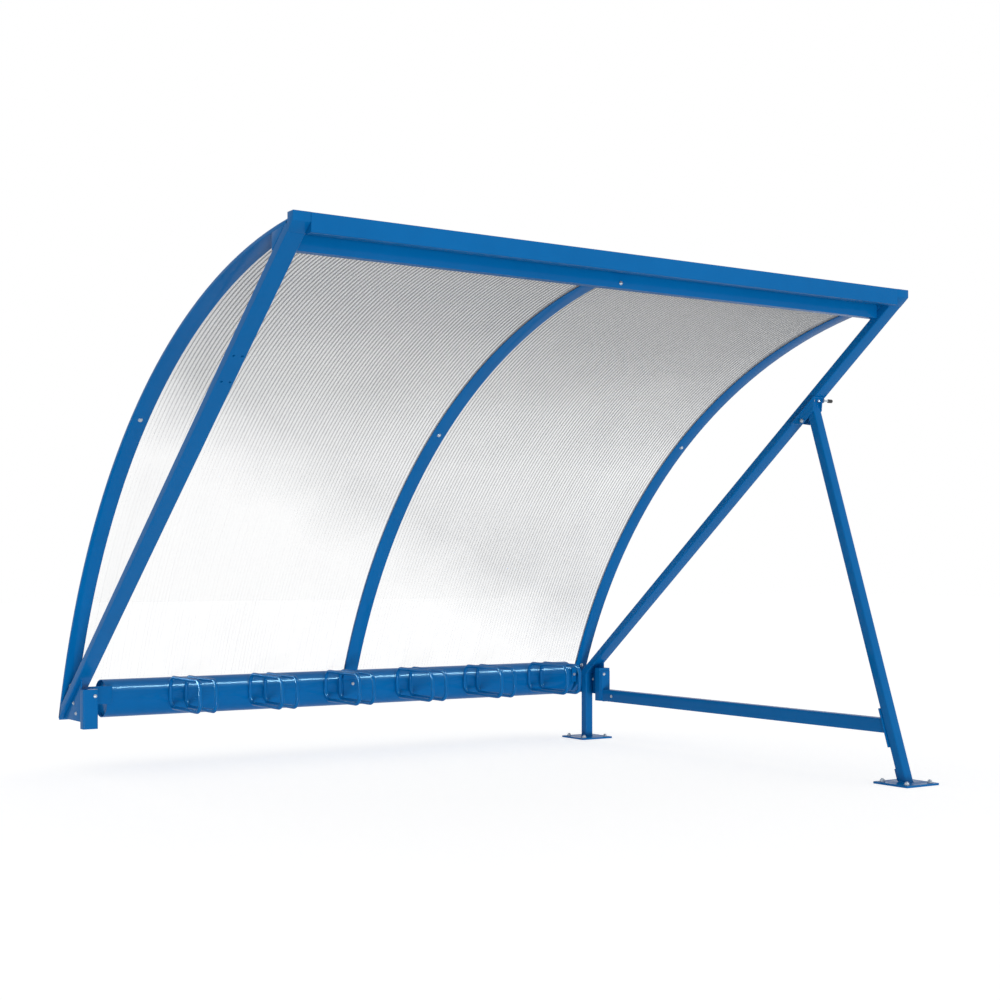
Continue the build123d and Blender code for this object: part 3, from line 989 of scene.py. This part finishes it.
# %% The weld tree
def make_weld_tree():
    grower = Grower("welds", {"Ripple": "float", "Bead": "float", "Seed": "int"})
    path = grower.node("GeometryNodeMeshToCurve", None, {"Mesh": grower.get("Start")})
    steps = grower.node("GeometryNodeCurveToPoints", {"mode": "LENGTH"},
                        {"Curve": path, "Length": grower.get("Ripple")})
    ball = grower.node("GeometryNodeMeshIcoSphere", None,
                       {"Radius": grower.get("Bead"), "Subdivisions": 2})
    size = grower.node("FunctionNodeRandomValue", {"data_type": "FLOAT"},
                       {2: 0.85, 3: 1.12, "Seed": grower.get("Seed")}, output=1)
    row = grower.node("GeometryNodeInstanceOnPoints", None,
                      {"Points": steps, "Instance": ball, "Scale": size})
    grower.finish(row, blue_paint)
    return grower


weld_tree = make_weld_tree()


def weld(name, paths, seed, bead=0.0026):
    """Beads along paths, each a list of places joined by straight runs."""
    places, runs = [], []
    for path in paths:
        first = len(places)
        places += [tuple(p) for p in path]
        runs += [(first + i, first + i + 1) for i in range(len(path) - 1)]
    start = bpy.data.meshes.new(name)
    start.from_pydata(places, runs, [])
    made = weld_tree.grow(name, start, {"Ripple": bead * 0.8, "Bead": bead, "Seed": seed})
    return as_piece(name, made, crease=80.0)


def round_tube(section, to_place):
    """A closed path round a tube. Each point of its section is taken to its place."""
    places = [to_place(a, b) for a, b in rounded_section(*section, steps=3)]
    return places + places[:1]


# %% Welds at the feet and at both ends of the tie bar
WELD_LIFT = 0.0005
weld_z = foot_top + WELD_LIFT
leg_y = LEG_FOOT + LEG_LEAN * foot_top
leg_section = (TUBE_SIDE, TUBE_SIDE * sqrt(1 + LEG_LEAN ** 2))


def on_leg_plate(a, b):
    """A place on the leaning plate at the front end of the tie bar."""
    z = tie_middle.z + b
    return tie_middle.x + a, tie_plate_face.y + (z - tie_plate_face.z) * LEG_LEAN, z


weld_paths = [
    round_tube(square, lambda a, b: (leg_x + a, b, weld_z)),
    round_tube(leg_section, lambda a, b: (leg_x + a, leg_y + b, weld_z)),
    round_tube(tie_section, lambda a, b: (tie_middle.x + a, tie_high.y, tie_middle.z + b)),
    round_tube(tie_section, on_leg_plate)]
weld("frame_welds", weld_paths, seed=2)

# %% Welds of the loops on the rail
SMALL_BEAD = 0.0022
BAR_SIDE, LOOP_WELD_HALF = 0.0062, 0.020
weld_end, weld_middle = loop_back + 0.0045, loop_back + 0.0060
weld_paths = []
for x, _, _ in loop_places:
    for beside in (x - BAR_SIDE, x + BAR_SIDE):
        weld_paths.append([(beside, weld_end, rail_middle.z - LOOP_WELD_HALF),
                           (beside, weld_middle, rail_middle.z),
                           (beside, weld_end, rail_middle.z + LOOP_WELD_HALF)])
weld("loop_welds", weld_paths, bead=SMALL_BEAD, seed=4)

# %% Welds of the saddle and the lugs on the rail
ARC_LOW, ARC_HIGH, ARC_STEPS = -18, 50, 12
LUG_WELD_DEPTH, LUG_WELD_HALF = 0.0065, 0.012
arc_radius = rail_radius + 0.001
weld_paths = []
for x in (saddle_low.x, saddle_high.x):
    arc = []
    for step in range(ARC_STEPS + 1):
        turn = radians(ARC_LOW + (ARC_HIGH - ARC_LOW) * step / ARC_STEPS)
        arc.append((x, rail_middle.y - arc_radius * cos(turn),
                    rail_middle.z + arc_radius * sin(turn)))
    weld_paths.append(arc)
for x, y in ((left_lug_high.x, left_lug_low.y + LUG_WELD_DEPTH),
             (right_lug_low.x, right_lug_low.y + LUG_WELD_DEPTH)):
    weld_paths.append([(x, y, rail_middle.z - LUG_WELD_HALF),
                       (x, y, rail_middle.z + LUG_WELD_HALF)])
weld("rail_welds", weld_paths, bead=SMALL_BEAD, seed=6)

# %% [markdown]
# ## Floor and world
#
# The bay stands in a plain white studio. Floor and world both look white to the camera and in
# gloss, while they light the model at a plain lower level. A Light Path node tells the two
# kinds of ray apart. The floor still shows the model's soft shadow.

# %% Rays that see and rays that light
def seeing_rays(graph):
    """1 for a ray from the camera, or one that is mirrored or let through, and otherwise 0."""
    path = graph.tree.nodes.new("ShaderNodeLightPath")
    from_camera, mirrored, let_through = (
        Value(graph, path.outputs[kind])
        for kind in ("Is Camera Ray", "Is Glossy Ray", "Is Transmission Ray"))
    return from_camera + mirrored + let_through


def cleared(tree, output_kind, make_surface):
    """Rebuilds a node tree from one output and the surface that a function makes."""
    tree.nodes.clear()
    graph = Graph(tree)
    output = tree.nodes.new(output_kind)
    graph.fill(output.inputs["Surface"], make_surface(graph))


# %% Floor
FLOOR_HALF = 30
FLOOR_LIT, FLOOR_SEEN, FLOOR_GLOW = (0.8, 0.8, 0.8, 1), (0.6, 0.6, 0.6, 1), 0.64


def floor_surface(graph):
    lit = graph.node("ShaderNodeBsdfDiffuse", None, {"Color": FLOOR_LIT})
    seen = graph.node("ShaderNodeAddShader", None, {
        0: graph.node("ShaderNodeBsdfDiffuse", None, {"Color": FLOOR_SEEN}),
        1: graph.node("ShaderNodeEmission", None, {"Strength": FLOOR_GLOW})})
    return graph.node("ShaderNodeMixShader", None, {0: seeing_rays(graph), 1: lit, 2: seen})


def make_floor():
    shape = bmesh.new()
    corners = ((-1, -1), (1, -1), (1, 1), (-1, 1))
    shape.faces.new([shape.verts.new((x * FLOOR_HALF, y * FLOOR_HALF, 0)) for x, y in corners])
    floor = bpy.data.objects.new("studio_floor", mesh_from("studio_floor", shape))
    put_in_scene(floor)
    floor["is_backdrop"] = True
    material = bpy.data.materials.new("studio_floor")
    material.use_nodes = True
    cleared(material.node_tree, "ShaderNodeOutputMaterial", floor_surface)
    floor.data.materials.append(material)
    return floor


floor = make_floor()
print("floor", 2 * FLOOR_HALF, "m square")

# %% World
WORLD_LIT, WORLD_SEEN = 0.65, 1.0


def world_surface(graph):
    strength = graph.spread(seeing_rays(graph), WORLD_LIT, WORLD_SEEN)
    return graph.node("ShaderNodeBackground", None, {"Color": (1, 1, 1, 1),
                                                      "Strength": strength})


world = bpy.data.worlds.new("studio")
bpy.context.scene.world = world
world.use_nodes = True
cleared(world.node_tree, "ShaderNodeOutputWorld", world_surface)
print("world lights at", WORLD_LIT, "and is seen at", WORLD_SEEN)

# %% [markdown]
# ## Lamps
#
# One broad sun shines on the front from slightly below the floor's level. It stands for the
# light that a pale studio floor throws back up, so the floor mustn't stop it. A round pipe
# mirrors a lamp as a thin line only where the lamp is long and lies in the right direction.
# Two strips do that: one high over the bay for the rail, one far to the left for the wheel
# loops. They show only in the gloss of those pieces, and the clear sheets don't stop them.

# %% The sun
def passes_through(lamp, things):
    """Keeps some objects from casting shadows in the light of a lamp."""
    clear = bpy.data.collections.new("clear_to_" + lamp.name)
    for thing in things:
        clear.objects.link(thing)
    for member in clear.collection_objects:
        member.light_linking.link_state = "EXCLUDE"
    lamp.light_linking.blocker_collection = clear


def add_sun(name, comes_from, strength, spread):
    """A sun whose light comes from a direction, with a spread in degrees."""
    lamp = bpy.data.lights.new(name, "SUN")
    lamp.energy = strength
    lamp.angle = radians(spread)
    holder = bpy.data.objects.new(name, lamp)
    holder.rotation_mode = "QUATERNION"
    holder.rotation_quaternion = Vector(comes_from).to_track_quat("Z", "Y")
    put_in_scene(holder)
    return holder


front_light = add_sun("front_light", comes_from=(-0.3, -0.93, -0.24), strength=1.6, spread=18.0)
passes_through(front_light, [floor])
print("sun", front_light.name)

# %% Two strips for the gloss
STRIP_COLOUR = (0.45, 0.85, 1.0)


def add_strip(name, place, turn, size, power, lights):
    """A long lamp, turned in degrees, that shows only in the gloss of the pieces it lights."""
    lamp = bpy.data.lights.new(name, "AREA")
    lamp.shape = "RECTANGLE"
    lamp.size, lamp.size_y = size
    lamp.energy = power
    lamp.color = STRIP_COLOUR
    holder = bpy.data.objects.new(name, lamp)
    holder.location = place
    holder.rotation_euler = [radians(angle) for angle in turn]
    holder.visible_diffuse = False
    holder.visible_camera = False
    put_in_scene(holder)
    shiny = bpy.data.collections.new("lit_by_" + name)
    for piece in lights:
        shiny.objects.link(bpy.data.objects[piece])
    holder.light_linking.receiver_collection = shiny
    passes_through(holder, [bpy.data.objects[part + side] for side in ("left", "right")
                            for part in ("sheet_hull_", "sheet_walls_")])


add_strip("rail_strip", place=(1.6, -1.9, 5.5), turn=(0, 0, 0), size=(6.5, 1.3), power=2400.0,
          lights=["rail_pipe", "wheel_loops"])
add_strip("loop_strip", place=(-5.8, 1.9, 1.2), turn=(90, 0, -113.3), size=(5.0, 3.0),
          power=6000.0, lights=["wheel_loops"])

# %% [markdown]
# ## Camera
#
# The camera stands low at the left front and looks level, so upright edges stay upright. The
# picture is shifted up instead of tilted, as an architect's camera would do it.

# %% Camera
CAMERA_PLACE, CAMERA_HEADING = (-4.7206, -6.4237, 0.8266), -33.29
CAMERA_LENS, CAMERA_SHIFT = 59.32, 0.0664

camera = bpy.data.objects.new("camera", bpy.data.cameras.new("camera"))
camera.location = CAMERA_PLACE
camera.rotation_euler = (radians(90), 0, radians(CAMERA_HEADING))
camera.data.lens = CAMERA_LENS
camera.data.sensor_width = 36.0
camera.data.shift_y = CAMERA_SHIFT
put_in_scene(camera)
bpy.context.scene.camera = camera
bpy.context.scene.view_settings.view_transform = "Standard"
print("camera", tuple(round(c, 3) for c in camera.location))

# %% [markdown]
# ## Finish
#
# The finished model's box is worked out and printed. The finished model must stay in
# the frame's own box.

# %% Print the finished box
low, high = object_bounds()
print("finished box", tuple(round(c, 4) for c in low), tuple(round(c, 4) for c in high))
